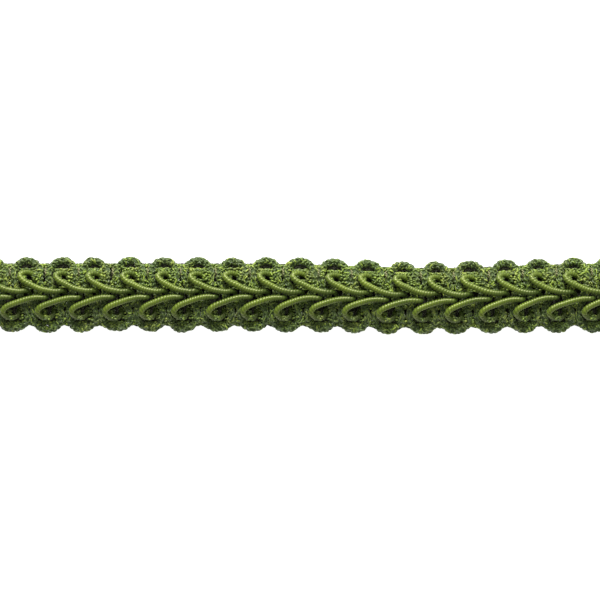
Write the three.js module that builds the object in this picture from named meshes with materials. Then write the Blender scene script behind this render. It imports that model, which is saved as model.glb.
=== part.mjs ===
// Gimp braid trim: a cut length of half-inch scroll gimp, lying flat on a table.
// Millimetres. X runs along the trim, Y across it, and Z up from the table.
// Two continuous strands make it. The crepe ground yarn runs edge to edge and turns
// in a scallop at each edge. The smooth scroll cord is worked through the ground:
// over it in a leaning limb, under it in a hidden turn, once for each scallop.
import * as THREE from "three";
import { mergeVertices } from "three/addons/utils/BufferGeometryUtils.js";

// Driving dimensions
const PITCH = 5.68; // one scallop to the next
const REPEATS_EACH_WAY = 9; // whole scallops on each side of the middle one
const GROUND_SIDES = 8;
const SCROLL_SIDES = 6;
const CORD = 1.06; // diameter of the smooth cord where it shows
const SQUEEZED = 0.76; // the same cord, pressed thin under the ground yarn
const SCALLOP = 1.24; // diameter of the crepe yarn in a scallop
const FIELD = 0.8; // thickness of the crepe yarn where it is pressed in the field
const CROSSED = 0.7; // the same yarn in the middle, under the limbs
const CLEAR = 0.3; // gap kept between crossing strands
const ON_TABLE = 0.001; // what is lower than this lies flat on the table

// Heights of a strand's centre line above the table
const UNDER = SQUEEZED / 2;
const MIDDLE = SQUEEZED + CLEAR + FIELD / 2;
const OVER = SQUEEZED + CLEAR + FIELD + CLEAR + CORD / 2;
const EDGE = SCALLOP / 2;

// The lie of the length: a slow bend, a slightly narrower stretch and an uneven pitch
const BEND_DEPTH = 0.55;
const BEND_CENTRE = 22;
const BEND_SPREAD = 17;
const NARROWING = 0.04;
const DRIFT = { coarse: 0.12, fine: 0.05, coarsePerMm: 0.42, finePerMm: 1.07 };

const COLUMNS = ["along", "across", "height", "width", "thickness"];

// One repeat of the ground yarn, from the top of an upper scallop, over the lower
// scallop, to the start of the next upper scallop.
const GROUND_REPEAT = table([
  [0.0, 5.6, EDGE, SCALLOP, SCALLOP],
  [0.88, 5.42, EDGE, SCALLOP, SCALLOP],
  [1.48, 4.98, EDGE, SCALLOP, SCALLOP],
  [1.96, 4.46, 0.82, 1.22, 1.16],
  [2.16, 3.8, 1.24, 1.16, 1.0],
  [2.16, 3.0, MIDDLE, 1.16, 0.86],
  [2.0, 1.7, MIDDLE, 1.3, FIELD],
  [1.8, 0.15, MIDDLE, 1.3, CROSSED],
  [1.42, -1.4, MIDDLE, 1.26, FIELD],
  [1.08, -2.8, MIDDLE, 1.02, 0.86],
  [1.1, -3.7, 1.24, 1.04, 1.0],
  [1.32, -4.4, 0.82, 1.22, 1.16],
  [1.74, -4.98, EDGE, SCALLOP, SCALLOP],
  [2.42, -5.46, EDGE, SCALLOP, SCALLOP],
  [3.34, -5.62, EDGE, SCALLOP, SCALLOP],
  [4.26, -5.46, EDGE, SCALLOP, SCALLOP],
  [4.94, -4.98, EDGE, SCALLOP, SCALLOP],
  [5.36, -4.4, 0.82, 1.22, 1.16],
  [5.58, -3.7, 1.24, 1.04, 1.0],
  [5.6, -2.8, MIDDLE, 1.02, 0.86],
  [5.08, -1.4, MIDDLE, 1.26, FIELD],
  [4.54, 0.15, MIDDLE, 1.3, CROSSED],
  [3.9, 1.7, MIDDLE, 1.3, FIELD],
  [3.5, 3.0, MIDDLE, 1.16, 0.86],
  [3.5, 3.8, 1.24, 1.16, 1.0],
  [3.7, 4.46, 0.82, 1.22, 1.16],
  [4.2, 4.98, EDGE, SCALLOP, SCALLOP],
  [4.8, 5.42, EDGE, SCALLOP, SCALLOP],
]);

// One repeat of the scroll cord: the upper loop's left end, the upper limb, the
// hidden turn, the lower loop, the lower limb, the second hidden turn, and the
// rise into the next upper loop.
const SCROLL_REPEAT = table([
  [-1.14, 3.12, 2.34, CORD, CORD],
  [-0.5, 2.34, 2.66, CORD, CORD],
  [0.72, 1.7, OVER, CORD, CORD],
  [2.3, 1.0, OVER, CORD, CORD],
  [4.3, 0.62, OVER, 1.02, 1.02],
  [5.46, 0.7, 2.36, 0.86, 0.88],
  [6.06, 0.44, 1.64, 0.78, 0.82],
  [6.2, -0.44, 0.94, 0.76, 0.78],
  [6.14, -1.08, 0.5, 0.76, SQUEEZED],
  [5.92, -1.54, UNDER, 0.76, SQUEEZED],
  [5.36, -1.98, UNDER, 0.76, SQUEEZED],
  [4.72, -2.06, 0.46, 0.8, 0.82],
  [4.32, -2.46, 0.9, 0.88, 0.88],
  [4.34, -3.06, 1.2, 0.94, 0.94],
  [3.9, -3.58, 1.36, 0.98, 0.98],
  [3.12, -3.78, 1.56, 1.0, 1.0],
  [2.28, -3.48, 1.92, 1.02, 1.02],
  [1.78, -2.86, 2.42, CORD, CORD],
  [2.06, -2.24, 2.66, CORD, CORD],
  [2.87, -1.7, OVER, CORD, CORD],
  [4.31, -1.14, OVER, CORD, CORD],
  [5.77, -0.66, OVER, CORD, CORD],
  [7.17, -0.4, OVER, 1.02, 1.02],
  [8.44, -0.4, 2.62, 0.9, 0.92],
  [8.94, -0.24, 2.08, 0.8, 0.84],
  [8.88, 0.28, 1.46, 0.76, 0.8],
  [8.68, 0.88, 0.92, 0.76, SQUEEZED],
  [8.5, 1.42, 0.52, 0.76, SQUEEZED],
  [8.22, 1.92, UNDER, 0.76, SQUEEZED],
  [7.84, 2.36, UNDER, 0.76, SQUEEZED],
  [7.14, 2.52, 0.44, 0.8, 0.82],
  [6.72, 2.92, 0.86, 0.9, 0.9],
  [6.34, 3.42, 1.16, 0.94, 0.94],
  [5.6, 3.66, 1.46, 0.96, 0.96],
  [4.92, 3.56, 1.9, 1.02, 1.02],
]);

// Rows at which each strand is cut, in the repeat before the first whole one and in
// the last one.
const GROUND_CUT = { first: 14, last: 15 };
const SCROLL_CUT = { first: 20, last: 4 };

function table(rows) {
  return rows.map((row) =>
    Object.fromEntries(COLUMNS.map((name, i) => [name, row[i]])),
  );
}

// Where a point of the even pattern lies on the real length.
function laid(along, across) {
  const near = Math.exp(-(((along - BEND_CENTRE) / BEND_SPREAD) ** 2));
  const slide =
    DRIFT.coarse * Math.sin(DRIFT.coarsePerMm * along) +
    DRIFT.fine * Math.sin(DRIFT.finePerMm * along);
  return [along + slide, across * (1 - NARROWING * near) - BEND_DEPTH * near];
}

// All rows of a strand, from its first cut to its last, as a centre line and a
// second curve that carries width and thickness.
function strand(repeat, cut) {
  const centres = [];
  const sections = [];
  const before = -REPEATS_EACH_WAY - 1;
  for (let n = before; n <= REPEATS_EACH_WAY; n += 1) {
    const from = n === before ? cut.first : 0;
    const to = n === REPEATS_EACH_WAY ? cut.last : repeat.length;
    for (const row of repeat.slice(from, to)) {
      const [x, y] = laid(row.along + n * PITCH, row.across);
      centres.push(new THREE.Vector3(x, y, row.height));
      sections.push(new THREE.Vector3(row.width, row.thickness, 0));
    }
  }
  return {
    centre: new THREE.CatmullRomCurve3(centres, false, "catmullrom", 0.5),
    section: new THREE.CatmullRomCurve3(sections, false, "catmullrom", 0.5),
    steps: centres.length - 1,
  };
}

// A closed cylinder whose rings are moved onto the strand's centre line. A ring
// stands square to the line with a flat side down, and what would pass through the
// table is pressed flat on it.
function sweep(route, sides) {
  const geometry = new THREE.CylinderGeometry(
    1, 1, 1, sides, route.steps, false, Math.PI / sides,
  );
  const flat = Math.cos(Math.PI / sides);
  const wide = sides % 4 === 0 ? flat : 1;
  const position = geometry.getAttribute("position");
  const up = new THREE.Vector3(0, 0, 1);
  for (let i = 0; i < position.count; i += 1) {
    const t = THREE.MathUtils.clamp(0.5 - position.getY(i), 0, 1);
    const size = route.section.getPoint(t);
    const tangent = route.centre.getTangent(t);
    const side = new THREE.Vector3().crossVectors(up, tangent).normalize();
    const rise = new THREE.Vector3().crossVectors(tangent, side);
    const point = route.centre
      .getPoint(t)
      .addScaledVector(side, (-position.getZ(i) * size.x) / 2 / wide)
      .addScaledVector(rise, (position.getX(i) * size.y) / 2 / flat);
    position.setXYZ(i, point.x, point.y, point.z < ON_TABLE ? 0 : point.z);
  }
  geometry.deleteAttribute("normal");
  geometry.deleteAttribute("uv");
  const merged = mergeVertices(geometry, 1e-4);
  merged.computeVertexNormals();
  return merged;
}

function strandMesh(name, route, sides, finish) {
  const mesh = new THREE.Mesh(sweep(route, sides), new THREE.MeshStandardMaterial(finish));
  mesh.name = name;
  return mesh;
}

const trim = new THREE.Group();
trim.add(
  strandMesh("ground_yarn", strand(GROUND_REPEAT, GROUND_CUT), GROUND_SIDES, {
    color: 0x4f6b1f,
    roughness: 0.75,
    metalness: 0,
  }),
  strandMesh("scroll_cord", strand(SCROLL_REPEAT, SCROLL_CUT), SCROLL_SIDES, {
    color: 0x7c9a3a,
    roughness: 0.45,
    metalness: 0,
  }),
);

// The origin is under the middle of the length, on the table.
const middle = new THREE.Box3().setFromObject(trim, true).getCenter(new THREE.Vector3());
trim.position.set(-middle.x, -middle.y, 0);

export default trim;
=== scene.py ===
"""Gimp braid trim: a cut length of half-inch scroll gimp in moss green rayon.

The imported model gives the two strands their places. This file dresses them: the
smooth cord gets its wrapping, the crepe yarn its crimped threads and curls, and the
fine binding threads that hold the strands together are added.
"""

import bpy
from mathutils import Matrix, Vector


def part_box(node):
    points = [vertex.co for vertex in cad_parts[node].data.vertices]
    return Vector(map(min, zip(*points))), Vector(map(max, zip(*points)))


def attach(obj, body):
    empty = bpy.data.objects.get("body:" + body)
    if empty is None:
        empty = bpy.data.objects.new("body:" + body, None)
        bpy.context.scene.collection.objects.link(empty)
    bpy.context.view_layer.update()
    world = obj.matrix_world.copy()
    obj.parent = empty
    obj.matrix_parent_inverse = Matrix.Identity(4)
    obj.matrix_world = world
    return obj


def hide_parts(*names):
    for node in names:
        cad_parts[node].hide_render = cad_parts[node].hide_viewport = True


bl_info = {
    "name": "Gimp braid trim",
    "version": (1, 0, 0),
    "blender": (4, 5, 0),
    "location": "View3D > Sidebar > Gimp Trim",
    "description": "Dresses a length of scroll gimp braid with cord wrapping and crepe threads",
    "category": "Add Mesh",
}

import math

import bpy
import numpy as np
from bpy.props import FloatProperty, FloatVectorProperty, IntProperty, PointerProperty

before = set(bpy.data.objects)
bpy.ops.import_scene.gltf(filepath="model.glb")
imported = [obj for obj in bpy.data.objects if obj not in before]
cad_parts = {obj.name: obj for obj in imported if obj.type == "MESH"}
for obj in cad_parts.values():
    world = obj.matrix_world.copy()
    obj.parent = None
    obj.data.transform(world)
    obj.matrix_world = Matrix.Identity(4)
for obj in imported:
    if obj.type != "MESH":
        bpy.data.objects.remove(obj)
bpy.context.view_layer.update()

MM = 0.001
TURN = 2 * math.pi

# Driving sizes of the strands in millimetres, as the solids have them
PITCH = 5.68
REPEATS_EACH_WAY = 9
CORD = 1.06
SQUEEZED = 0.76
SCALLOP = 1.24
FIELD = 0.8
CROSSED = 0.7
CLEAR = 0.3
UNDER = SQUEEZED / 2
MIDDLE = SQUEEZED + CLEAR + FIELD / 2
OVER = SQUEEZED + CLEAR + FIELD + CLEAR + CORD / 2
EDGE = SCALLOP / 2

# The lie of the length: a slow bend, a slightly narrower stretch, an uneven pitch
BEND_DEPTH = 0.55
BEND_CENTRE = 22.0
BEND_SPREAD = 17.0
NARROWING = 0.04
DRIFT_COARSE = (0.12, 0.42)
DRIFT_FINE = (0.05, 1.07)

# Columns of both tables: along, across, height, width, thickness
GROUND_REPEAT = np.array([
    [0.0, 5.6, EDGE, SCALLOP, SCALLOP],
    [0.88, 5.42, EDGE, SCALLOP, SCALLOP],
    [1.48, 4.98, EDGE, SCALLOP, SCALLOP],
    [1.96, 4.46, 0.82, 1.22, 1.16],
    [2.16, 3.8, 1.24, 1.16, 1.0],
    [2.16, 3.0, MIDDLE, 1.16, 0.86],
    [2.0, 1.7, MIDDLE, 1.3, FIELD],
    [1.8, 0.15, MIDDLE, 1.3, CROSSED],
    [1.42, -1.4, MIDDLE, 1.26, FIELD],
    [1.08, -2.8, MIDDLE, 1.02, 0.86],
    [1.1, -3.7, 1.24, 1.04, 1.0],
    [1.32, -4.4, 0.82, 1.22, 1.16],
    [1.74, -4.98, EDGE, SCALLOP, SCALLOP],
    [2.42, -5.46, EDGE, SCALLOP, SCALLOP],
    [3.34, -5.62, EDGE, SCALLOP, SCALLOP],
    [4.26, -5.46, EDGE, SCALLOP, SCALLOP],
    [4.94, -4.98, EDGE, SCALLOP, SCALLOP],
    [5.36, -4.4, 0.82, 1.22, 1.16],
    [5.58, -3.7, 1.24, 1.04, 1.0],
    [5.6, -2.8, MIDDLE, 1.02, 0.86],
    [5.08, -1.4, MIDDLE, 1.26, FIELD],
    [4.54, 0.15, MIDDLE, 1.3, CROSSED],
    [3.9, 1.7, MIDDLE, 1.3, FIELD],
    [3.5, 3.0, MIDDLE, 1.16, 0.86],
    [3.5, 3.8, 1.24, 1.16, 1.0],
    [3.7, 4.46, 0.82, 1.22, 1.16],
    [4.2, 4.98, EDGE, SCALLOP, SCALLOP],
    [4.8, 5.42, EDGE, SCALLOP, SCALLOP],
])
SCROLL_REPEAT = np.array([
    [-1.14, 3.12, 2.34, CORD, CORD],
    [-0.5, 2.34, 2.66, CORD, CORD],
    [0.72, 1.7, OVER, CORD, CORD],
    [2.3, 1.0, OVER, CORD, CORD],
    [4.3, 0.62, OVER, 1.02, 1.02],
    [5.46, 0.7, 2.36, 0.86, 0.88],
    [6.06, 0.44, 1.64, 0.78, 0.82],
    [6.2, -0.44, 0.94, 0.76, 0.78],
    [6.14, -1.08, 0.5, 0.76, SQUEEZED],
    [5.92, -1.54, UNDER, 0.76, SQUEEZED],
    [5.36, -1.98, UNDER, 0.76, SQUEEZED],
    [4.72, -2.06, 0.46, 0.8, 0.82],
    [4.32, -2.46, 0.9, 0.88, 0.88],
    [4.34, -3.06, 1.2, 0.94, 0.94],
    [3.9, -3.58, 1.36, 0.98, 0.98],
    [3.12, -3.78, 1.56, 1.0, 1.0],
    [2.28, -3.48, 1.92, 1.02, 1.02],
    [1.78, -2.86, 2.42, CORD, CORD],
    [2.06, -2.24, 2.66, CORD, CORD],
    [2.87, -1.7, OVER, CORD, CORD],
    [4.31, -1.14, OVER, CORD, CORD],
    [5.77, -0.66, OVER, CORD, CORD],
    [7.17, -0.4, OVER, 1.02, 1.02],
    [8.44, -0.4, 2.62, 0.9, 0.92],
    [8.94, -0.24, 2.08, 0.8, 0.84],
    [8.88, 0.28, 1.46, 0.76, 0.8],
    [8.68, 0.88, 0.92, 0.76, SQUEEZED],
    [8.5, 1.42, 0.52, 0.76, SQUEEZED],
    [8.22, 1.92, UNDER, 0.76, SQUEEZED],
    [7.84, 2.36, UNDER, 0.76, SQUEEZED],
    [7.14, 2.52, 0.44, 0.8, 0.82],
    [6.72, 2.92, 0.86, 0.9, 0.9],
    [6.34, 3.42, 1.16, 0.94, 0.94],
    [5.6, 3.66, 1.46, 0.96, 0.96],
    [4.92, 3.56, 1.9, 1.02, 1.02],
])
GROUND_CUT = (14, 15)
SCROLL_CUT = (20, 4)

# How far the fluffed upper scallops stand out past the solid ones, and the places across
# where the rise starts and where it is full
SCALLOP_RISE = 0.16
RISE_FROM = 4.4
RISE_TO = 5.6

# How far a strand strays from the even pattern, and over how many rows it does
SWAY = 0.08
SWAY_ROWS = 4

# Seeds of the random draws
SEEDS = {"cord sway": 19, "yarn sway": 29, "wrapping": 11, "crimp": 77, "threads": 23,
         "curls": 41, "slack": 83, "back": 57, "ties": 63}

# The cord's wrapping: filaments side by side, sides of the tube, and how its turns slip
WRAP_STARTS = 2
CORD_SIDES = 14
WRAP_SLIP = 0.35
WRAP_SLIPS = 300
# The power on each hump of wrap that gives the crown, which sets the painted shade between the
# turns
CROWN_POWER = 0.7

# Painted light and shade on the cord by place: the height and width at which it is darkest, the
# painted shade by the centre line, the painted light on the upper loops, the painted shade on the
# lower bends, and the painted shade on the sides
SUNK_HEIGHT = 1.1
SUNK_WIDTH = 0.72
SPINE_DARK, SPINE_AT, SPINE_REACH = 0.7, 0.2, 0.9
UPPER_LIGHT, UPPER_AT, UPPER_REACH = 0.6, 2.0, 0.2
BEND_DARK, BEND_AT, BEND_REACH = 0.65, -3.1, 0.15
SIDE_LIGHT, TOP_GAIN = 0.45, 0.7

# The crepe yarn's dark heart: sides, ring spacing and share of the yarn's size
HEART_SIDES = 8
HEART_STEP = 0.3
HEART_SIZE = 0.8

# The crepe yarn's threads: layers, ring spacing, length of one swing there and back, place
# of the second layer between the lines of the first, and the swing as a share of a line's
# space. Each drift is a spacing along the run and a size
CREPE_LAYERS = 2
CREPE_STEP = 0.1
CRIMP = 1.5
PAIR = 0.5
SWING = 0.26
CRIMP_DRIFT = (1.3, 0.8)
SWING_DRIFT = (0.9, 0.06)
LINE_DRIFT = (2.5, 0.1)

# The threads' reach from the heart, their thickness and tone, and the depth of colour: painted
# shade that darkens them toward the heart's colour as they reach less far
THREAD_REACH, STROKE_REACH, REACH_DRIFT = 0.68, 0.18, (1.0, 0.05)
THREAD_SLIM, STROKE_FAT = 0.75, 0.35
THREAD_TONE, TONE_DRIFT = 0.33, (1.1, 0.15)
DEEP_REACH, DEPTH_RANGE = 0.58, 0.26

# How much painted shade darkens the crepe yarn in the upper scallops, from where across, and in the
# lower half
UPPER_SHADE = 0.27
UPPER_SHADE_FROM = 4.7
LOWER_SHADE = 0.17

# How the yarn's legs spread where they leave a scallop
SPREAD = 1.02
SPREAD_UPPER = 0.3
SPREAD_LOWER = 0.22
LEG_UPPER = 4.1
LEG_LOWER = -4.1
LEG_REACH = 0.6

# The curls: how many, rings in each, run kept free at the cuts, range of half their span,
# range of their height as a share of the curl size, where they start from, share of a
# thread's thickness, range of tone, and the yarn's radius that they lean round
CURLS = 2200
CURL_RINGS = 9
CURL_MARGIN = 0.4
CURL_SPAN = (0.3, 0.55)
CURL_HEIGHT = (0.5, 1.0)
CURL_FOOT = 0.66
CURL_THREAD = 0.8
CURL_TONE = (0.45, 1)
YARN_RADIUS = 0.6

# Slack crepe threads, which lie across a scallop's mouth, a valley or a lower crease, inside
# a loop, over a loop's return and across the field. Columns: middle of the threads along the
# trim, half their length, lowest and highest place across, height
SLACK = np.array([
    [0.05, 1.3, 3.92, 4.32, 1.2],
    [-0.5, 0.35, 2.8, 3.2, 2.05],
    [1.45, 0.7, 2.45, 3.7, 1.95],
    [0.1, 1.2, 1.1, 2.4, 1.45],
    [2.9, 0.5, 1.4, 2.2, 1.5],
    [2.84, 0.95, 4.6, 5.04, 0.96],
    [0.5, 0.8, -4.9, -4.4, 0.9],
    [0.4, 0.55, -4.3, -2.9, 1.3],
    [0.4, 0.55, -1.9, -1.0, 1.5],
    [2.75, 0.5, -3.25, -2.6, 1.75],
    [4.95, 0.55, -3.9, -2.1, 1.45],
    [3.34, 1.3, -4.9, -4.5, 0.8],
    [3.1, 0.85, -4.0, -3.55, 2.02],
])

# The threads in each of those places, their points, the length of a crimp and its size up
# and across, the share of the height that a bow loses at its ends, how far a thread strays
# across and up, and its tone, with its drift and the painted shade that darkens it in the lower
# half
SLACK_THREADS = 5
SLACK_POINTS = 22
SLACK_CRIMP = 0.55
SLACK_STROKE = 0.13
SLACK_WAVE = 0.09
SLACK_BOW = 0.35
SLACK_STRAY = 0.07
SLACK_LIFT = 0.05
SLACK_TONE, SLACK_DRIFT, SLACK_SHADE = 0.54, (0.3, 0.3), 0.16

# Where the trim is cut, and the zigzag back: how unevenly its threads end, the places across
# between which they lie, their spacing, points, stitch, swing across, height and dip
TRIM_ENDS = (4.1 - (REPEATS_EACH_WAY + 1) * PITCH, 2.1 + REPEATS_EACH_WAY * PITCH)
FRAY = 0.3
BACK_EDGES = (-5.0, 5.1)
BACK_SPACING = 0.24
BACK_POINTS = 540
BACK_STITCH = 1.42
BACK_SWING = 0.12
BACK_DRIFT = (0.03, 0.3)
BACK_HEIGHT = 0.55
BACK_DIP = 0.16

# The twisted edge threads: their places across, height, ring spacing and length of a twist
EDGE_LINES = (5.12, 4.78, -4.72)
EDGE_THREAD_HEIGHT = 0.62
EDGE_STEP = 0.2
EDGE_TWIST = 0.9

# The ties in the upper creases: the place along of a crease, the places across where a tie
# starts and ends, its waves and their swing, its lean, its height, wave and dip
CREASE = 3.0
TIE_FROM = 4.55
TIE_TO = 3.0
TIE_POINTS = 24
TIE_WAVES = 3.5
TIE_SWING = 0.12
TIE_LEAN = 0.1
TIE_HEIGHT = 1.98
TIE_WAVE = 0.14
TIE_DIP = 0.7

# The finishes: features a metre of each noise
SHADE_PATCHES = 330.0
FILAMENTS = 9000.0
WARM_PATCHES = 380.0
CREPE_GRAIN = 12000.0
THREAD_GRAIN = 5000.0

# The stage: half the table's side and the key light's distance and side in metres, the
# light given off by the table, which keeps it white under the trim's shadow, and the
# camera's sensor in millimetres
TABLE_HALF = 1.5
KEY_DISTANCE = 0.9
KEY_SIDE = 0.35
FLOOR_GLOW = 1.0
SENSOR = 36.0


def laid(along, across):
    """Moves the even pattern to its lie: the pitch drifts by two sines of the place along,
    and a bell curve of that place bends the length down and narrows it a little."""
    near = np.exp(-(((along - BEND_CENTRE) / BEND_SPREAD) ** 2))
    slide = sum(size * np.sin(rate * along) for size, rate in (DRIFT_COARSE, DRIFT_FINE))
    return along + slide, across * (1 - NARROWING * near) - BEND_DEPTH * near


def repeat_starts():
    """Where each repeat starts along the even pattern, in millimetres."""
    return np.arange(-REPEATS_EACH_WAY - 1, REPEATS_EACH_WAY + 1) * PITCH


def strand_rows(repeat, cut):
    """All rows of a strand in millimetres: the repeat's rows once for each scallop, from the
    first cut row to the last, laid along the length."""
    first, last = cut
    starts = repeat_starts()
    rows = np.tile(repeat, (len(starts), 1))
    rows[:, 0] += np.repeat(starts, len(repeat))
    rows = rows[first:len(rows) - len(repeat) + last]
    rows[:, 0], rows[:, 1] = laid(rows[:, 0], rows[:, 1])
    return rows


def shift_to_part():
    """The step from the even pattern's origin to the part's, in millimetres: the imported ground
    yarn's highest corner less that of its own rows, each half a width out to the side."""
    rows = strand_rows(GROUND_REPEAT, GROUND_CUT)
    side = sides_of(rows[:, :3])
    reach = rows[:, :2] + np.abs(side[:, :2]) * rows[:, 3:4] / 2
    high = np.array(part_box("ground_yarn")[1])[:2] / MM
    return high - reach.max(axis=0)


def s_curve(place, middle, reach):
    """Rises from 0 to 1 round a middle: one over one plus e to the way to go over reach."""
    return 1 / (1 + np.exp((middle - place) / reach))


def unit(vectors):
    """Each vector divided by its length."""
    return vectors / np.linalg.norm(vectors, axis=-1, keepdims=True)


def sides_of(points):
    """The level direction square to a path: up crossed with the path's direction."""
    tangent = np.gradient(points, axis=-2)
    return unit(np.cross([0.0, 0.0, 1.0], tangent))


def smooth_path(rows, step):
    """A uniform Catmull-Rom curve through the rows, sampled finely and then again at equal
    steps of its length. Returns the samples and their distance from the first cut."""
    samples = 24
    ends = [2 * rows[:1] - rows[1:2], rows, 2 * rows[-1:] - rows[-2:-1]]
    p = np.concatenate(ends)
    a, b, c, d = (p[i:len(p) - 3 + i, None, :] for i in range(4))
    u = np.linspace(0, 1, samples, endpoint=False)[None, :, None]
    curve = 0.5 * (2 * b + (c - a) * u + (2 * a - 5 * b + 4 * c - d) * u**2
                   + (3 * b - a - 3 * c + d) * u**3)
    curve = np.concatenate([curve.reshape(-1, rows.shape[1]), rows[-1:]])
    run = np.concatenate([[0], np.cumsum(np.linalg.norm(np.diff(curve[:, :3], axis=0), axis=1))])
    at = np.linspace(0, run[-1], int(run[-1] / step) + 1)
    sampled = np.stack([np.interp(at, run, column) for column in curve.T], axis=1)
    sampled[:, 2] = np.maximum(sampled[:, 2], sampled[:, 4] / 2)
    return sampled, at


class Strand:
    """A strand's path in the part's frame, in millimetres, with its directions and section,
    and its place across the even pattern. The rows sway a little at random along and across,
    so that no two repeats are alike."""

    def __init__(self, repeat, cut, step, seed):
        rows = strand_rows(repeat, cut)
        sway = wander(random_source(seed), np.arange(len(rows)), 2, SWAY_ROWS, SWAY)
        rows[:, :2] += shift_to_part() + sway.T
        samples, self.run = smooth_path(rows, step)
        bend = laid(samples[:, 0], 0.0)[1]
        self.across = samples[:, 1] - shift_to_part()[1] - bend
        self.centre = samples[:, :3]
        self.width = samples[:, 3]
        self.thickness = samples[:, 4]
        tangent = unit(np.gradient(self.centre, axis=0))
        self.side = unit(np.cross([0.0, 0.0, 1.0], tangent))
        self.rise = np.cross(tangent, self.side)

    def at(self, run, angle, reach, widen=1.0):
        """A point off the centre line: the section's half width times reach and the angle's
        cosine to the side, and its half thickness times reach and the sine upwards. run, angle
        and reach are arrays of one shape. Returns the points and the way out of the strand."""
        def pick(values):
            flat = values.reshape(len(self.run), -1)
            found = [np.interp(run, self.run, column) for column in flat.T]
            return np.stack(found, axis=-1)
        side, rise = pick(self.side), pick(self.rise)
        across = side * np.cos(angle)[..., None]
        upward = rise * np.sin(angle)[..., None]
        half_width = pick(self.width) * np.broadcast_to(widen, run.shape)[..., None] / 2
        half_thickness = pick(self.thickness) / 2
        offset = (across * half_width + upward * half_thickness) * reach[..., None]
        points = pick(self.centre) + offset
        outward = unit(across / half_width + upward / half_thickness)
        return points, outward


def grid_faces(rings, sides, tubes=1):
    """Quads of closed tubes whose points are counted tube by tube, ring by ring and side by
    side: each joins a point, the next in its ring, and the same two in the next ring."""
    ring = np.arange(rings - 1)[None, :, None] * sides
    tube = np.arange(tubes)[:, None, None] * rings * sides
    here = np.arange(sides)[None, None, :]
    following = (here + 1) % sides
    base = tube + ring
    quads = np.stack([base + here, base + following,
                      base + sides + following, base + sides + here], axis=-1)
    return quads.reshape(-1, 4)


def end_faces(rings, sides, tubes=1):
    """The two polygons that close each tube, the first one turned round to face back."""
    start = np.arange(tubes)[:, None] * rings * sides
    near = start + np.arange(sides)[::-1]
    far = start + (rings - 1) * sides + np.arange(sides)
    return np.concatenate([near, far])


def put_mesh(name, points, polygons, values, finish, nodes=()):
    """Makes one object of points in millimetres and groups of polygons, each group an array
    with one row a polygon, with a float attribute for each named value."""
    mesh = bpy.data.meshes.new(name)
    points = points.reshape(-1, 3)
    corners = np.concatenate([group.reshape(-1) for group in polygons])
    sizes = np.concatenate([np.full(len(group), group.shape[1]) for group in polygons])
    mesh.vertices.add(len(points))
    mesh.vertices.foreach_set("co", (points * MM).astype(np.float32).reshape(-1))
    mesh.loops.add(len(corners))
    mesh.loops.foreach_set("vertex_index", corners.astype(np.int32))
    mesh.polygons.add(len(sizes))
    starts = np.concatenate([[0], np.cumsum(sizes)[:-1]])
    mesh.polygons.foreach_set("loop_start", starts.astype(np.int32))
    mesh.polygons.foreach_set("use_smooth", np.ones(len(sizes), dtype=bool))
    mesh.update(calc_edges=True)
    mesh.validate()
    for label, value in values.items():
        layer = mesh.attributes.new(label, "FLOAT", "POINT")
        layer.data.foreach_set("value", np.ascontiguousarray(value.reshape(-1), np.float32))
    mesh.materials.append(finish)
    piece = bpy.data.objects.new(name, mesh)
    bpy.context.scene.collection.objects.link(piece)
    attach(piece, "root")
    if nodes:
        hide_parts(*nodes)
    return piece


def thread_tubes(points, outward, radius, sides):
    """Thin tubes round many paths at once. Each ring lies in the plane of the way out of the
    strand and its cross product with the path, at equal angles."""
    tangent = unit(np.gradient(points, axis=1))
    out = unit(outward - tangent * np.sum(outward * tangent, axis=-1, keepdims=True))
    across = np.cross(tangent, out)
    angle = (np.arange(sides) + 0.5) / sides * TURN
    ring = (out[..., None, :] * np.cos(angle)[:, None]
            + across[..., None, :] * np.sin(angle)[:, None])
    size = np.broadcast_to(radius, points.shape[:2])[..., None, None]
    return points[..., None, :] + ring * size


def lay_tubes(name, paths, radius, finish, values=None, nodes=()):
    """Three-sided tubes round paths given in the even pattern's millimetres, one row of
    points a thread. Each value has one number a point of the paths."""
    sides = 3
    along, across = laid(paths[..., 0], paths[..., 1])
    level = np.stack([along, across], axis=-1) + shift_to_part()
    points = np.concatenate([level, np.maximum(paths[..., 2:], radius)], axis=-1)
    upward = np.broadcast_to([0.0, 0.0, 1.0], points.shape)
    tubes = thread_tubes(points, upward, radius, sides)
    count, rings = paths.shape[:2]
    spread = {label: np.broadcast_to(value[..., None], tubes.shape[:3])
              for label, value in (values or {}).items()}
    faces = [grid_faces(rings, sides, count), end_faces(rings, sides, count)]
    return put_mesh(name, tubes, faces, spread, finish, nodes)


class Socket:
    """A shader socket or number that takes part in Python sums, each adding a Math node."""

    def __init__(self, maker, link):
        self.maker = maker
        self.link = link

    def _math(self, operation, first, second):
        return self.maker.node("ShaderNodeMath", {"operation": operation}, {0: first, 1: second})

    def __add__(self, other):
        return self._math("ADD", self, other)

    def __mul__(self, other):
        return self._math("MULTIPLY", self, other)

    __radd__ = __add__
    __rmul__ = __mul__


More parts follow.
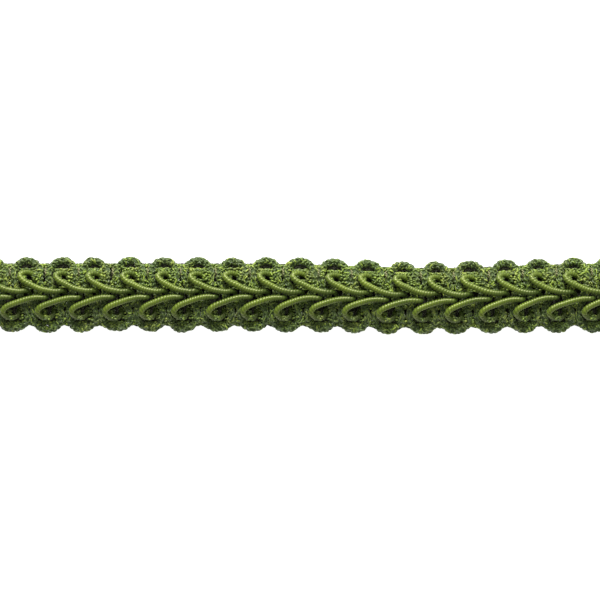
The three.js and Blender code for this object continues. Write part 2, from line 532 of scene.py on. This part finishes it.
class Finish:
    """A material made in code. node() adds any node and returns its chosen output."""

    def __init__(self, name):
        self.material = bpy.data.materials.new(name)
        self.material.use_nodes = True
        self.tree = self.material.node_tree
        self.shader = self.tree.nodes["Principled BSDF"]

    def node(self, kind, settings=None, inputs=None, output=0):
        made = self.tree.nodes.new(kind)
        for name, value in (settings or {}).items():
            if name == "stops":
                self.set_stops(made.color_ramp, value)
            else:
                setattr(made, name, value)
        for name, value in (inputs or {}).items():
            self.feed(made.inputs[name], value)
        return Socket(self, made.outputs[output])

    def feed(self, socket, value):
        if isinstance(value, Socket):
            self.tree.links.new(value.link, socket)
        else:
            socket.default_value = value

    @staticmethod
    def set_stops(ramp, stops):
        while len(ramp.elements) < len(stops):
            ramp.elements.new(0.5)
        for element, (place, colour) in zip(ramp.elements, stops):
            element.position = place
            element.color = (*colour, 1.0)

    def attribute(self, name):
        return self.node("ShaderNodeAttribute", {"attribute_name": name}, output=2)

    def place(self):
        return self.node("ShaderNodeTexCoord", output=3)

    def noise(self, scale, detail=2.0):
        return self.node("ShaderNodeTexNoise", {},
                         {"Vector": self.place(), "Scale": scale, "Detail": detail})

    def ramp(self, value, stops):
        return self.node("ShaderNodeValToRGB", {"stops": stops}, {0: value})

    def mix(self, share, first, second, blend="MIX"):
        return self.node("ShaderNodeMix", {"data_type": "RGBA", "blend_type": blend},
                         {"Factor": share, 6: first, 7: second}, output=2)

    def bump(self, height, strength, distance):
        return self.node("ShaderNodeBump", {},
                         {"Height": height, "Strength": strength, "Distance": distance})

    def surface(self, **sockets):
        for name, value in sockets.items():
            self.feed(self.shader.inputs[name.replace("_", " ")], value)
        return self.material


def colour(values):
    """Three parts of a colour with full alpha added."""
    return (values[0], values[1], values[2], 1.0)


def darker(values, share):
    """A colour with each part multiplied by share."""
    return tuple(part * share for part in values[:3])


class TrimSizes(bpy.types.PropertyGroup):
    """Sizes that a user would change."""

    rib_spacing: FloatProperty(
        name="Wrap spacing", description="Distance between two turns of the cord's wrapping",
        default=0.44 * MM, unit="LENGTH")
    rib_depth: FloatProperty(
        name="Wrap depth", description="Height of a turn of wrapping, as a share of the radius",
        default=0.17, subtype="FACTOR")
    thread: FloatProperty(
        name="Crepe thread", description="Diameter of one crimped thread of the crepe yarn",
        default=0.36 * MM, unit="LENGTH")
    threads: IntProperty(
        name="Lines of thread", description="Lines of zigzag thread round the crepe yarn, a layer",
        default=4)
    curl: FloatProperty(
        name="Curl", description="Height of the small loops that stand out of the crepe yarn",
        default=0.42 * MM, unit="LENGTH")
    binding: FloatProperty(
        name="Binding thread", description="Diameter of the fine threads that bind the strands",
        default=0.34 * MM, unit="LENGTH")
    tie: FloatProperty(
        name="Tie thread", description="Diameter of the pale tie between two runs of crepe yarn",
        default=0.2 * MM, unit="LENGTH")


class TrimColours(bpy.types.PropertyGroup):
    """Colours of the yarns and of the stage."""

    cord: FloatVectorProperty(
        name="Scroll cord", description="Rayon wrapping of the smooth cord",
        default=(0.143, 0.218, 0.0155), subtype="COLOR")
    crepe: FloatVectorProperty(
        name="Crepe yarn", description="Crimped threads where they face out",
        default=(0.176, 0.251, 0.027), subtype="COLOR")
    crepe_warm: FloatVectorProperty(
        name="Crepe yarn, yellower", description="Crimped threads in the yellower patches",
        default=(0.214, 0.267, 0.041), subtype="COLOR")
    # The core colour is also where the crepe threads' painted shade goes near the heart
    core: FloatVectorProperty(
        name="Crepe core", description="The dark heart of the crepe yarn",
        default=(0.066, 0.1, 0.03), subtype="COLOR")
    binding: FloatVectorProperty(
        name="Binding thread", description="Dark olive binding thread",
        default=(0.042, 0.043, 0.024), subtype="COLOR")
    tie: FloatVectorProperty(
        name="Tie thread", description="Brownish tie between two runs of crepe yarn",
        default=(0.29, 0.29, 0.13), subtype="COLOR")
    floor: FloatVectorProperty(
        name="Floor", description="Pale table under the trim",
        default=(0.86, 0.86, 0.85), subtype="COLOR")


class StageSizes(bpy.types.PropertyGroup):
    """The camera's frame and the lights."""

    frame_width: FloatProperty(
        name="Frame width", description="Width of table that the picture shows",
        default=100.26 * MM, unit="LENGTH")
    lens: FloatProperty(
        name="Lens", description="Focal length in millimetres, long for a flat view",
        default=200.0)
    below_middle: FloatProperty(
        name="Frame below middle", description="How far the picture's centre lies below the trim's",
        default=0.84 * MM, unit="LENGTH")
    key_angle: FloatProperty(
        name="Key light height", description="Angle of the main light above the table",
        default=math.radians(31), unit="ROTATION")
    key_power: FloatProperty(
        name="Key light power", description="Power of the main light", default=12.3)
    fill_power: FloatProperty(
        name="Surrounding light", description="Strength of the soft light from all round",
        default=0.41)


def random_source(seed):
    """Seeded random numbers, so that each run gives the same trim."""
    return np.random.default_rng(seed)


def wander(rng, run, count, spacing, size):
    """Slow random changes along a run, one row for each of count threads: random numbers of
    the given size at even knots, joined by straight lines."""
    knots = np.arange(run[0], run[-1] + 2 * spacing, spacing)
    values = rng.normal(0, size, (count, len(knots)))
    return np.stack([np.interp(run, knots, row) for row in values])


def cord_finish(colours):
    """Satin rayon wrapping: lighter on the crowns of its turns, with painted shade between them,
    and painted light and shade by place from the level attribute, darkest where the cord is
    sunk, with fine filaments along each turn and slow random changes of tone."""
    made = Finish("gimp_cord_rayon")
    crown = made.attribute("crown")
    shade = made.noise(SHADE_PATCHES, 3.0)
    filament = made.noise(FILAMENTS)
    # Painted shade: the wrap is darkened between the crowns of its turns, in the grooves
    base = made.mix(crown, colour(darker(colours.cord, 0.2)), colour(colours.cord))
    patch = made.ramp(shade, [(0.3, (0.72, 0.75, 0.74)), (0.7, (1.26, 1.18, 1.05))])
    base = made.mix(1.0, base, patch, "MULTIPLY")
    # Painted light and shade: the level attribute darkens and cools the cord where it is sunk, by
    # the centre line, in the lower bends and on its sides, and lightens the upper loops
    sunk = made.ramp(made.attribute("level"), [(0.1, (0.34, 0.42, 0.52)), (0.9, (1, 1, 1))])
    base = made.mix(1.0, base, sunk, "MULTIPLY")
    return made.surface(
        Base_Color=base, Roughness=0.34 + 0.12 * shade, Sheen_Weight=0.1,
        Sheen_Roughness=0.4, Specular_IOR_Level=0.8,
        Specular_Tint=(1.0, 1.0, 0.55, 1.0),
        Normal=made.bump(filament, 0.35, 0.04 * MM))


def crepe_finish(colours):
    """Shiny crimped rayon: each thread has its own tone, lowered by painted shade in the upper
    scallops and the lower half; painted shade from the depth attribute mixes the threads toward
    the heart's colour, so the outer turns are lighter than the ones near the heart; and some
    patches are yellower."""
    made = Finish("crepe_rayon")
    tone = made.attribute("tone")
    depth = made.attribute("depth")
    patch = made.noise(WARM_PATCHES)
    warm = made.ramp(patch, [(0.46, (0, 0, 0)), (0.62, (1, 1, 1))])
    base = made.mix(warm, colour(colours.crepe), colour(colours.crepe_warm))
    light = made.ramp(tone, [(0.15, (0.42, 0.50, 0.48)), (0.5, (0.85, 0.9, 0.85)),
                             (0.85, (1.8, 1.75, 1.6))])
    base = made.mix(1.0, base, light, "MULTIPLY")
    # Painted shade: where depth is low, near the heart, the colour goes toward the dark core colour
    base = made.mix(depth, colour(colours.core), base)
    return made.surface(
        Base_Color=base, Roughness=0.33 + 0.15 * patch, Sheen_Weight=0.2,
        Sheen_Roughness=0.4, Specular_IOR_Level=0.6,
        Normal=made.bump(made.noise(CREPE_GRAIN), 0.3, 0.03 * MM))


def thread_finish(name, thread_colour):
    """Dull spun thread with a fine twist."""
    made = Finish(name)
    grain = made.noise(THREAD_GRAIN)
    shade = made.ramp(grain, [(0.3, darker(thread_colour, 0.6)),
                              (0.7, darker(thread_colour, 1.3))])
    return made.surface(Base_Color=shade, Roughness=0.7, Specular_IOR_Level=0.3,
                        Normal=made.bump(grain, 0.4, 0.04 * MM))


class TRIM_OT_scroll_cord(bpy.types.Operator):
    """Makes the smooth cord with its wrapping"""

    bl_idname = "trim.scroll_cord"
    bl_label = "Scroll Cord"

    def execute(self, context):
        """The radius swells and sinks round a helix: the phase is the run over the wrap
        spacing plus the starts times the turn of the angle, and each phase is a rounded hump
        of wrap. The phase also slips at random along the run."""
        sizes = context.scene.trim_sizes
        spacing = sizes.rib_spacing / MM
        strand = Strand(SCROLL_REPEAT, SCROLL_CUT, spacing / 4, SEEDS["cord sway"])
        rng = random_source(SEEDS["wrapping"])
        run = strand.run[:, None]
        angle = np.arange(CORD_SIDES)[None, :] / CORD_SIDES * TURN
        knots = np.linspace(0, strand.run[-1], WRAP_SLIPS)
        slip = np.interp(strand.run, knots, rng.normal(0, WRAP_SLIP, WRAP_SLIPS))[:, None]
        phase = run / spacing + WRAP_STARTS * angle / TURN + slip
        hump = np.abs(np.sin(math.pi * phase))
        reach = 1 - sizes.rib_depth * (1 - hump)
        run, angle = np.broadcast_arrays(run, angle)
        points, _ = strand.at(run, angle, reach)
        points[..., 2] = np.maximum(points[..., 2], 0)
        rings = len(strand.run)
        put_mesh(
            "scroll_cord_wrapped", points,
            [grid_faces(rings, CORD_SIDES), end_faces(rings, CORD_SIDES)],
            # level carries the painted light and shade by place along the cord
            {"crown": hump ** CROWN_POWER, "level": self.painted_light_and_shade(strand, angle)},
            cord_finish(context.scene.trim_colours), ["scroll_cord"])
        return {"FINISHED"}

    def painted_light_and_shade(self, strand, angle):
        """Painted light and shade, from 0 where the cord is sunk to 1 on top of a limb: the share
        of its height above SUNK_HEIGHT, times the share of its width above SUNK_WIDTH, less a bell
        curve of the place across by the centre line as painted shade there. An s-curve of that
        place paints light on what is in the upper loops, another paints shade on the lower bends,
        and the angle's sine paints shade on the sides."""
        across = strand.across[:, None]
        high = np.clip((strand.centre[:, 2:] - SUNK_HEIGHT) / (OVER - SUNK_HEIGHT), 0, 1)
        wide = np.clip((strand.width[:, None] - SUNK_WIDTH) / (CORD - SUNK_WIDTH), 0, 1)
        spine = 1 - SPINE_DARK * np.exp(-(((across - SPINE_AT) / SPINE_REACH) ** 2))
        light = high * wide * spine
        light = light + (1 - light) * UPPER_LIGHT * s_curve(across, UPPER_AT, UPPER_REACH)
        light = light * (1 - BEND_DARK * s_curve(-across, -BEND_AT, BEND_REACH))
        return light * np.clip(SIDE_LIGHT + TOP_GAIN * np.sin(angle), 0, 1)


class TRIM_OT_crepe_yarn(bpy.types.Operator):
    """Makes the crepe ground yarn: a dark heart, zigzag threads and curls"""

    bl_idname = "trim.crepe_yarn"
    bl_label = "Crepe Yarn"

    def execute(self, context):
        sizes = context.scene.trim_sizes
        colours = context.scene.trim_colours
        # The upper scallops move out by a share that grows from RISE_FROM to RISE_TO
        repeat = GROUND_REPEAT.copy()
        rise = np.clip((repeat[:, 1] - RISE_FROM) / (RISE_TO - RISE_FROM), 0, 1)
        repeat[:, 1] += SCALLOP_RISE * rise
        strand = Strand(repeat, GROUND_CUT, CREPE_STEP, SEEDS["yarn sway"])
        finish = crepe_finish(colours)
        pieces = [self.heart(strand, thread_finish("crepe_heart", colours.core))]
        for layer in range(CREPE_LAYERS):
            pieces.append(self.threads(strand, sizes, layer, finish))
        pieces.append(self.curls(strand, sizes, finish))
        pieces.append(self.slack(sizes, finish))
        return {"FINISHED"}

    def fullness(self, strand, run):
        """How much wider than its solid the yarn spreads: a little everywhere, and more by a
        bell curve of the place across, where its legs leave a scallop and fill the valley."""
        across = np.interp(run, strand.run, strand.across)
        upper = SPREAD_UPPER * np.exp(-(((across - LEG_UPPER) / LEG_REACH) ** 2))
        lower = SPREAD_LOWER * np.exp(-(((across - LEG_LOWER) / LEG_REACH) ** 2))
        return SPREAD + upper + lower

    def shaded(self, strand, run):
        """How much painted shade darkens the yarn at a place of its run, by the place across: it
        grows over one millimetre past UPPER_SHADE_FROM, and over one millimetre into the lower
        half."""
        across = np.interp(run, strand.run, strand.across)
        upper = UPPER_SHADE * np.clip(across - UPPER_SHADE_FROM, 0, 1)
        return upper + LOWER_SHADE * np.clip(-across, 0, 1)

    def heart(self, strand, finish):
        """A plain tube inside the threads: the strand's own section, made smaller."""
        run = np.arange(0, strand.run[-1], HEART_STEP)[:, None]
        angle = np.arange(HEART_SIDES)[None, :] / HEART_SIDES * TURN
        run, angle = np.broadcast_arrays(run, angle)
        inside = np.full(run.shape, HEART_SIZE)
        points, _ = strand.at(run, angle, inside, self.fullness(strand, run))
        return put_mesh("crepe_heart", points,
                        [grid_faces(len(run), HEART_SIDES), end_faces(len(run), HEART_SIDES)],
                        {}, finish, ["ground_yarn"])

    def threads(self, strand, sizes, layer, finish):
        """Threads that each keep to a line along the yarn and swing from side to side of it by
        the sine of the run over the crimp. The reach from the heart grows with the square of
        its cosine, so each stroke stands out like one side of a small v."""
        lines, sides = sizes.threads, 3
        rng = random_source(SEEDS["threads"] + layer)
        run = np.arange(0, strand.run[-1], CREPE_STEP)
        count = (lines, len(run))
        place = (np.arange(lines)[:, None] + layer * PAIR) / lines * TURN
        along = np.broadcast_to(run[None, :], count)
        slip = wander(random_source(SEEDS["crimp"]), run, lines, *CRIMP_DRIFT)
        beat = along / CRIMP * TURN + slip
        swing = TURN / lines * (SWING + wander(rng, run, lines, *SWING_DRIFT)) * (1 - 2 * layer)
        angle = place + wander(rng, run, lines, *LINE_DRIFT) - swing * np.sin(beat)
        stroke = np.cos(beat) ** 2
        reach = THREAD_REACH + STROKE_REACH * stroke + wander(rng, run, lines, *REACH_DRIFT)
        points, outward = strand.at(along, angle, reach, self.fullness(strand, along))
        radius = sizes.thread / MM / 2 * (THREAD_SLIM + STROKE_FAT * stroke)
        points[..., 2] = np.maximum(points[..., 2], radius)
        tubes = thread_tubes(points, outward, radius, sides)
        # Painted shade: shaded() lowers the tone, and depth, low near the heart, darkens the thread
        # toward the core colour
        tone = THREAD_TONE + wander(rng, run, lines, *TONE_DRIFT) - self.shaded(strand, along)
        depth = np.clip((reach - DEEP_REACH) / DEPTH_RANGE, 0, 1)
        shape = tubes.shape[:3]
        return put_mesh(f"crepe_threads_{layer + 1}", tubes,
                        [grid_faces(len(run), sides, lines), end_faces(len(run), sides, lines)],
                        {"tone": np.broadcast_to(np.clip(tone, 0, 1)[..., None], shape),
                         "depth": np.broadcast_to(depth[..., None], shape)},
                        finish, ["ground_yarn"])

    def curls(self, strand, sizes, finish):
        """Small loops that stand out and lean at random: over half a turn, the cosine carries
        each from one spot of the surface to another, and the sine lifts it to its height."""
        rng = random_source(SEEDS["curls"])
        count, rings, sides = CURLS, CURL_RINGS, 3
        run = rng.uniform(CURL_MARGIN, strand.run[-1] - CURL_MARGIN, (count, 1))
        angle = rng.uniform(0, TURN, (count, 1))
        bow = np.linspace(0, math.pi, rings)[None, :]
        turn = rng.uniform(0, TURN, (count, 1))
        span = rng.uniform(*CURL_SPAN, (count, 1))
        height = sizes.curl / MM * rng.uniform(*CURL_HEIGHT, (count, 1))
        swing = -np.cos(bow) * span
        reach = CURL_FOOT + np.sin(bow) * height
        along = run + swing * np.cos(turn)
        around = angle + swing * np.sin(turn) / YARN_RADIUS
        points, outward = strand.at(along, around, reach, self.fullness(strand, along))
        radius = sizes.thread / MM / 2 * CURL_THREAD
        points[..., 2] = np.maximum(points[..., 2], radius)
        tubes = thread_tubes(points, outward, radius, sides)
        # Painted shade: shaded() lowers the tone, and depth darkens each curl toward its feet
        tone = np.clip(rng.uniform(*CURL_TONE, (count, 1)) - self.shaded(strand, run), 0, 1)
        tone = np.broadcast_to(tone[..., None], tubes.shape[:3])
        depth = np.broadcast_to((0.5 + 0.5 * np.sin(bow))[..., None], tubes.shape[:3])
        return put_mesh("crepe_curls", tubes,
                        [grid_faces(rings, sides, count), end_faces(rings, sides, count)],
                        {"tone": tone, "depth": depth}, finish, ["ground_yarn"])

    def slack(self, sizes, finish):
        """Crimped threads that lie level in the places of SLACK: each is a bow whose height
        falls with the square of the way from its middle, with a wave across the trim and
        another, half as long, up and down."""
        rng = random_source(SEEDS["slack"])
        repeats = repeat_starts()
        middle, half, low, high, height = SLACK.T[:, :, None, None, None]
        share = np.arange(SLACK_THREADS)[None, None, :, None] / (SLACK_THREADS - 1)
        run = np.linspace(-1, 1, SLACK_POINTS)[None, None, None, :]
        shape = (len(SLACK), len(repeats), SLACK_THREADS, run.shape[-1])
        start = rng.uniform(0, TURN, (*shape[:3], 1))
        turn = run * half * TURN / SLACK_CRIMP
        stroke = np.cos(start + turn)
        along = repeats[None, :, None, None] + middle + half * run
        across = low + (high - low) * share + rng.normal(0, SLACK_STRAY, start.shape)
        across = across + SLACK_WAVE * np.sin(start + turn / 2)
        level = height * (1 - SLACK_BOW * run**2) + rng.normal(0, SLACK_LIFT, start.shape)
        level = level + SLACK_STROKE * stroke
        paths = np.stack([np.broadcast_to(part, shape) for part in (along, across, level)], axis=-1)
        paths = paths.reshape(-1, shape[-1], 3)
        inside = (paths[:, 0, 0] > TRIM_ENDS[0]) & (paths[:, -1, 0] < TRIM_ENDS[1])
        # Painted shade: depth darkens each thread in the troughs of its crimp
        depth = (0.725 + 0.275 * stroke).reshape(-1, shape[-1])[inside]
        tone = SLACK_TONE + wander(rng, run.reshape(-1), len(depth), *SLACK_DRIFT)
        # Painted shade: a lower tone in the lower half of the trim
        tone = tone - SLACK_SHADE * np.clip(-paths[inside][..., 1], 0, 1)
        return lay_tubes("crepe_slack", paths[inside], sizes.thread / MM / 2, finish,
                         {"tone": np.clip(tone, 0, 1), "depth": depth}, ["ground_yarn"])


class TRIM_OT_binding(bpy.types.Operator):
    """Makes the fine dark threads behind the strands, the edge threads and the ties"""

    bl_idname = "trim.binding"
    bl_label = "Binding Threads"

    def execute(self, context):
        sizes = context.scene.trim_sizes
        colours = context.scene.trim_colours
        dark = thread_finish("binding_thread", colours.binding)
        pieces = [self.backing(sizes, dark), self.edges(sizes, dark),
                  self.ties(sizes, thread_finish("tie_thread", colours.tie))]
        return {"FINISHED"}

    def backing(self, sizes, finish):
        """Zigzag threads along the back: the place across swings by a sine of the place
        along, side by side with the next thread, and each dips at every turn."""
        lines = np.arange(*BACK_EDGES, BACK_SPACING)
        rng = random_source(SEEDS["back"])
        count = len(lines)
        starts, stops = (rng.normal(end, FRAY, (count, 1)) for end in TRIM_ENDS)
        share = np.linspace(0, 1, BACK_POINTS)
        along = starts + (stops - starts) * share
        turn = along / BACK_STITCH * TURN + wander(rng, share, 1, *BACK_DRIFT)
        across = lines[:, None] + BACK_SWING * np.sin(turn)
        height = BACK_HEIGHT + BACK_DIP * np.cos(2 * turn)
        paths = np.stack([along, across, height], axis=-1)
        return lay_tubes("binding_back", paths, sizes.binding / MM / 2, finish)

    def edges(self, sizes, finish):
        """Twisted edge threads, each a pair of helices round a straight line."""
        along = np.arange(*TRIM_ENDS, EDGE_STEP)
        radius = sizes.binding / MM / 3
        turn = along[None, :] / EDGE_TWIST * TURN + np.array([0, math.pi])[:, None]
        paths = [np.stack([np.broadcast_to(along, turn.shape), line + radius * np.sin(turn),
                           EDGE_THREAD_HEIGHT + radius * np.cos(turn)], axis=-1)
                 for line in EDGE_LINES]
        return lay_tubes("binding_edges", np.concatenate(paths), radius, finish)

    def ties(self, sizes, finish):
        """One tie in each upper crease: a run across the trim that waves, so that it shows as
        a few short strokes, and sinks at both ends by the square of the way from its middle."""
        rng = random_source(SEEDS["ties"])
        creases = repeat_starts()[:, None]
        run = np.linspace(0, 1, TIE_POINTS)[None, :]
        across = TIE_FROM + (TIE_TO - TIE_FROM) * run + 0 * creases
        waves = np.sin(run * TIE_WAVES * TURN + rng.uniform(0, TURN, creases.shape))
        along = creases + CREASE + TIE_SWING * waves + TIE_LEAN * (run - 0.5)
        height = TIE_HEIGHT + TIE_WAVE * waves - TIE_DIP * (2 * run - 1) ** 2
        paths = np.stack([along, across, height], axis=-1)
        return lay_tubes("binding_ties", paths, sizes.tie / MM / 2, finish)


class TRIM_OT_stage(bpy.types.Operator):
    """Makes the table, the lights and the camera"""

    bl_idname = "trim.stage"
    bl_label = "Stage"

    def execute(self, context):
        stage = context.scene.trim_stage
        colours = context.scene.trim_colours
        self.table(colours)
        self.lights(stage)
        self.camera(stage)
        context.scene.view_settings.view_transform = "Standard"
        return {"FINISHED"}

    def table(self, colours):
        """A flat square under the trim, as white as the photograph's."""
        made = Finish("pale_table")
        surface = made.surface(Base_Color=colour(colours.floor), Roughness=0.9,
                               Emission_Color=colour(colours.floor), Emission_Strength=FLOOR_GLOW)
        mesh = bpy.data.meshes.new("table")
        corners = [(TABLE_HALF * x, TABLE_HALF * y, 0) for x, y in
                   ((-1, -1), (1, -1), (1, 1), (-1, 1))]
        mesh.from_pydata(corners, [], [(0, 1, 2, 3)])
        mesh.materials.append(surface)
        floor = bpy.data.objects.new("table", mesh)
        bpy.context.scene.collection.objects.link(floor)

    def lights(self, stage):
        """A square key light above the upper edge of the picture, and an even sky."""
        lamp = bpy.data.lights.new("key", "AREA")
        lamp.size = KEY_SIDE
        lamp.energy = stage.key_power
        key = bpy.data.objects.new("key", lamp)
        key.location = (0.0, KEY_DISTANCE * math.cos(stage.key_angle),
                        KEY_DISTANCE * math.sin(stage.key_angle))
        key.rotation_euler = (stage.key_angle - math.pi / 2, 0, 0)
        bpy.context.scene.collection.objects.link(key)
        world = bpy.data.worlds.new("soft_room")
        world.use_nodes = True
        sky = world.node_tree.nodes["Background"]
        sky.inputs["Color"].default_value = (0.98, 1.0, 1.02, 1.0)
        sky.inputs["Strength"].default_value = stage.fill_power
        bpy.context.scene.world = world

    def camera(self, stage):
        """Straight above, as far away as the frame width times the lens over the sensor."""
        lens = bpy.data.cameras.new("camera")
        lens.sensor_width = SENSOR
        lens.lens = stage.lens
        eye = bpy.data.objects.new("camera", lens)
        away = stage.frame_width * stage.lens / SENSOR
        shift = shift_to_part() * MM
        eye.location = (shift[0], shift[1] - stage.below_middle, away)
        lens.clip_start, lens.clip_end = away / 50, away * 20
        bpy.context.scene.collection.objects.link(eye)
        bpy.context.scene.camera = eye


class TRIM_PT_panel(bpy.types.Panel):
    """Lists the pieces of the trim"""

    bl_idname = "TRIM_PT_panel"
    bl_label = "Gimp Braid Trim"
    bl_space_type = "VIEW_3D"
    bl_region_type = "UI"
    bl_category = "Gimp Trim"

    def draw(self, context):
        for name in ("trim_sizes", "trim_colours", "trim_stage"):
            group = getattr(context.scene, name)
            column = self.layout.column()
            for field in group.__annotations__:
                column.prop(group, field)
        for step in STEPS:
            self.layout.operator(step)


GROUPS = {"trim_sizes": TrimSizes, "trim_colours": TrimColours, "trim_stage": StageSizes}
STEPS = ("trim.stage", "trim.scroll_cord", "trim.crepe_yarn", "trim.binding")
CLASSES = (TrimSizes, TrimColours, StageSizes, TRIM_OT_scroll_cord, TRIM_OT_crepe_yarn,
           TRIM_OT_binding, TRIM_OT_stage, TRIM_PT_panel)


def register():
    """Adds the classes and the groups of settings to Blender."""
    for kind in CLASSES:
        bpy.utils.register_class(kind)
    for name, kind in GROUPS.items():
        setattr(bpy.types.Scene, name, PointerProperty(type=kind))


def unregister():
    """Takes them away again."""
    for name in GROUPS:
        delattr(bpy.types.Scene, name)
    for kind in reversed(CLASSES):
        bpy.utils.unregister_class(kind)


def main():
    """Makes the stage and the pieces in order."""
    register()
    bpy.ops.trim.stage()
    bpy.ops.trim.scroll_cord()
    bpy.ops.trim.crepe_yarn()
    bpy.ops.trim.binding()


if __name__ == "__main__":
    main()
